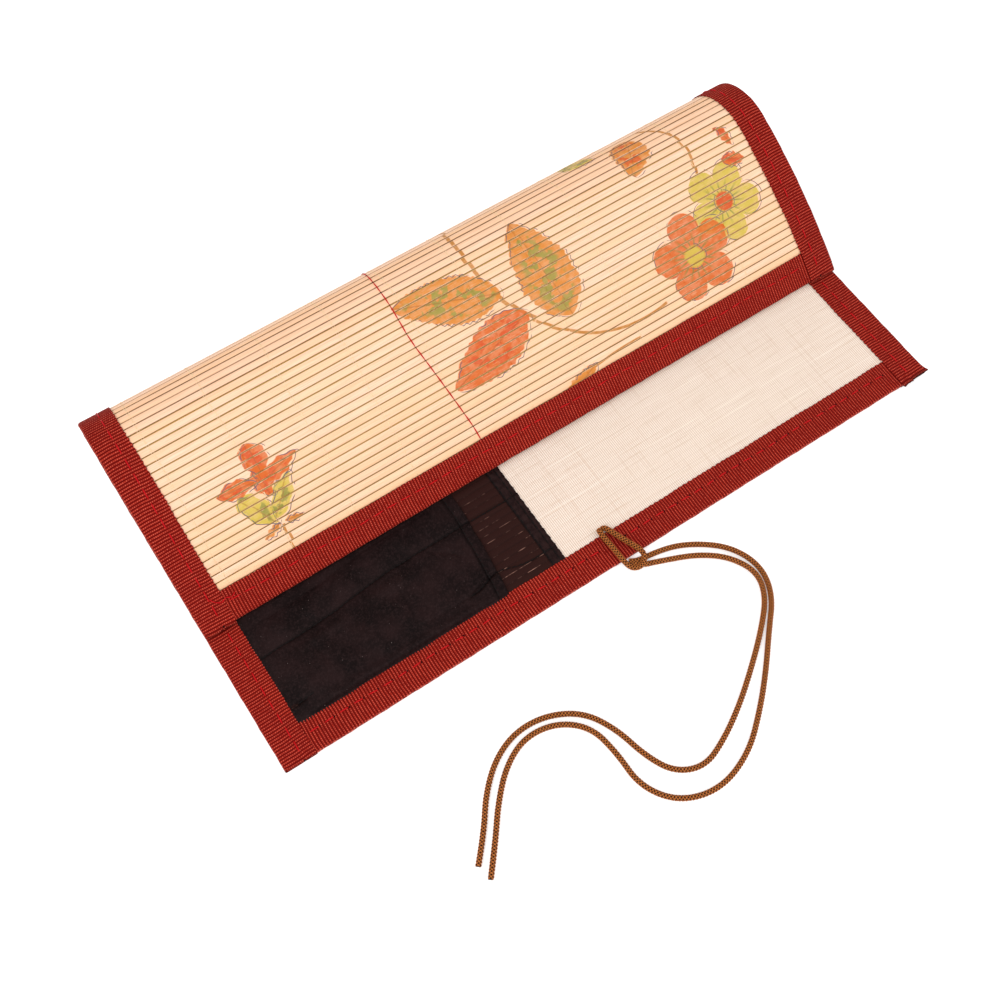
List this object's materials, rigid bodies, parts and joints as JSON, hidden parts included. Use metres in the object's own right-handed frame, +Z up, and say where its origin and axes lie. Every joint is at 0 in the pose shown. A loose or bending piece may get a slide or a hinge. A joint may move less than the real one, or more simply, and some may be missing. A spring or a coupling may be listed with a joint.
{
  "type": "brush roll case",
  "caption": "Roll-up brush case: a mat of bamboo slats with a gauze lining, ribbed tape edges, a nylon brush pocket and a tie cord, lying open and folded over.",
  "frame": {"origin": "middle of the folded-open case's footprint, on the surface it lies on, the cord left out", "axes": "+X along the slats, away from the pocket's side; +Y from the front edge with the cord towards the fold; +Z up"},
  "size_m": [0.361, 0.2883, 0.0543],
  "materials": {
    "bamboo_slats": "smooth split bamboo, satin, with a faded printed flower pattern on the outer face",
    "gauze_lining": "thin cream gauze backed on the slats",
    "binding_tape": "dark red ribbed grosgrain",
    "red_thread": "bright red running stitch",
    "black_thread": "black sewing thread",
    "cotton_thread": "undyed cotton thread",
    "sheer_backing": "sheer dark brown cloth with short pale dashes of thread",
    "black_nylon": "plain woven nylon with a soft sheen",
    "braided_cord": "brown braided cord"
  },
  "bodies": {
    "front_panel": {"channel_seams_base": "black_thread", "channel_seams_bend": "black_thread", "cord_bight": "braided_cord", "cord_knot": "braided_cord", "cord_tail_a": "braided_cord", "cord_tail_b": "braided_cord", "lining_base": "gauze_lining", "lining_bend": "gauze_lining", "pocket_backing_base": "sheer_backing", "pocket_backing_bend": "sheer_backing", "pocket_band_base": "black_nylon", "pocket_band_bend": "black_nylon", "pocket_front_base": "black_nylon", "pocket_front_bend": "black_nylon", "pocket_mouth_hem_base": "black_nylon", "pocket_mouth_hem_bend": "black_nylon", "pocket_stitching_base": "red_thread", "pocket_stitching_bend": "red_thread", "slats_base": "bamboo_slats", "tape_front": "binding_tape", "tape_left_base": "binding_tape", "tape_left_bend": "binding_tape", "tape_right_base": "binding_tape", "tape_right_bend": "binding_tape", "tape_stitching_base": "red_thread", "tape_stitching_bend": "red_thread", "warp_threads_base": "cotton_thread", "warp_threads_bend": "cotton_thread"},
    "bend_01": {"slats_bend_01": "bamboo_slats"},
    "bend_02": {"slats_bend_02": "bamboo_slats"},
    "bend_03": {"slats_bend_03": "bamboo_slats"},
    "bend_04": {"slats_bend_04": "bamboo_slats"},
    "bend_05": {"slats_bend_05": "bamboo_slats"},
    "bend_06": {"slats_bend_06": "bamboo_slats"},
    "bend_07": {"slats_bend_07": "bamboo_slats"},
    "bend_08": {"slats_bend_08": "bamboo_slats"},
    "bend_09": {"slats_bend_09": "bamboo_slats"},
    "bend_10": {"slats_bend_10": "bamboo_slats"},
    "bend_11": {"slats_bend_11": "bamboo_slats"},
    "bend_12": {"slats_bend_12": "bamboo_slats"},
    "bend_13": {"slats_bend_13": "bamboo_slats"},
    "bend_14": {"slats_bend_14": "bamboo_slats"},
    "flap": {"channel_seams_flap": "black_thread", "lining_flap": "gauze_lining", "pocket_backing_flap": "sheer_backing", "pocket_band_flap": "black_nylon", "pocket_front_flap": "black_nylon", "pocket_mouth_hem_flap": "black_nylon", "pocket_stitching_flap": "red_thread", "slats_flap": "bamboo_slats", "tape_left_flap": "binding_tape", "tape_rear": "binding_tape", "tape_right_flap": "binding_tape", "tape_stitching_flap": "red_thread", "warp_threads_flap": "cotton_thread"}
  },
  "joints": [
    {"name": "fold_open", "type": "hinge", "parent": "front_panel", "child": "bend_01", "pos_m": [0, 0.0622, 0.0022], "axis": [-1, 0, 0], "range_deg": [0, 8.28], "deforming": ["channel_seams_bend", "lining_bend", "pocket_backing_bend", "pocket_band_bend", "pocket_front_bend", "pocket_mouth_hem_bend", "pocket_stitching_bend", "tape_left_bend", "tape_right_bend", "tape_stitching_bend", "warp_threads_bend"]},
    {"name": "fold_hinge_02", "type": "hinge", "parent": "bend_01", "child": "bend_02", "pos_m": [0, 0.0695, 0.00326], "axis": [-1, 0, 0], "range_deg": [0, 16.58]},
    {"name": "fold_hinge_03", "type": "hinge", "parent": "bend_02", "child": "bend_03", "pos_m": [0, 0.07619, 0.00636], "axis": [-1, 0, 0], "range_deg": [0, 16.58]},
    {"name": "fold_hinge_04", "type": "hinge", "parent": "bend_03", "child": "bend_04", "pos_m": [0, 0.08172, 0.01124], "axis": [-1, 0, 0], "range_deg": [0, 16.58]},
    {"name": "fold_hinge_05", "type": "hinge", "parent": "bend_04", "child": "bend_05", "pos_m": [0, 0.08563, 0.01749], "axis": [-1, 0, 0], "range_deg": [0, 16.58]},
    {"name": "fold_hinge_06", "type": "hinge", "parent": "bend_05", "child": "bend_06", "pos_m": [0, 0.0876, 0.0246], "axis": [-1, 0, 0], "range_deg": [0, 16.58]},
    {"name": "fold_hinge_07", "type": "hinge", "parent": "bend_06", "child": "bend_07", "pos_m": [0, 0.08746, 0.03197], "axis": [-1, 0, 0], "range_deg": [0, 16.58]},
    {"name": "fold_hinge_08", "type": "hinge", "parent": "bend_07", "child": "bend_08", "pos_m": [0, 0.08522, 0.039], "axis": [-1, 0, 0], "range_deg": [0, 17.27]},
    {"name": "fold_hinge_09", "type": "hinge", "parent": "bend_08", "child": "bend_09", "pos_m": [0, 0.081, 0.04503], "axis": [-1, 0, 0], "range_deg": [0, 19.29]},
    {"name": "fold_hinge_10", "type": "hinge", "parent": "bend_09", "child": "bend_10", "pos_m": [0, 0.07503, 0.04934], "axis": [-1, 0, 0], "range_deg": [0, 18.98]},
    {"name": "fold_hinge_11", "type": "hinge", "parent": "bend_10", "child": "bend_11", "pos_m": [0, 0.06798, 0.05153], "axis": [-1, 0, 0], "range_deg": [0, 15.16]},
    {"name": "fold_hinge_12", "type": "hinge", "parent": "bend_11", "child": "bend_12", "pos_m": [0, 0.06061, 0.05175], "axis": [-1, 0, 0], "range_deg": [0, 15.16]},
    {"name": "fold_hinge_13", "type": "hinge", "parent": "bend_12", "child": "bend_13", "pos_m": [0, 0.05343, 0.05004], "axis": [-1, 0, 0], "range_deg": [0, 13.07]},
    {"name": "fold_hinge_14", "type": "hinge", "parent": "bend_13", "child": "bend_14", "pos_m": [0, 0.03024, 0.03853], "axis": [-1, 0, 0], "range_deg": [0, 5.99]},
    {"name": "fold_hinge_15", "type": "hinge", "parent": "bend_14", "child": "flap", "pos_m": [0, 0.00528, 0.02266], "axis": [-1, 0, 0], "range_deg": [0, 6.39]}
  ],
  "couplings": [
    {"joint": "fold_hinge_02", "follows": "fold_open", "ratio": 2},
    {"joint": "fold_hinge_03", "follows": "fold_open", "ratio": 2},
    {"joint": "fold_hinge_04", "follows": "fold_open", "ratio": 2},
    {"joint": "fold_hinge_05", "follows": "fold_open", "ratio": 2},
    {"joint": "fold_hinge_06", "follows": "fold_open", "ratio": 2},
    {"joint": "fold_hinge_07", "follows": "fold_open", "ratio": 2},
    {"joint": "fold_hinge_08", "follows": "fold_open", "ratio": 2.0833},
    {"joint": "fold_hinge_09", "follows": "fold_open", "ratio": 2.3273},
    {"joint": "fold_hinge_10", "follows": "fold_open", "ratio": 2.2898},
    {"joint": "fold_hinge_11", "follows": "fold_open", "ratio": 1.8286},
    {"joint": "fold_hinge_12", "follows": "fold_open", "ratio": 1.8286},
    {"joint": "fold_hinge_13", "follows": "fold_open", "ratio": 1.5756},
    {"joint": "fold_hinge_14", "follows": "fold_open", "ratio": 0.72124},
    {"joint": "fold_hinge_15", "follows": "fold_open", "ratio": 0.76933}
  ]
}
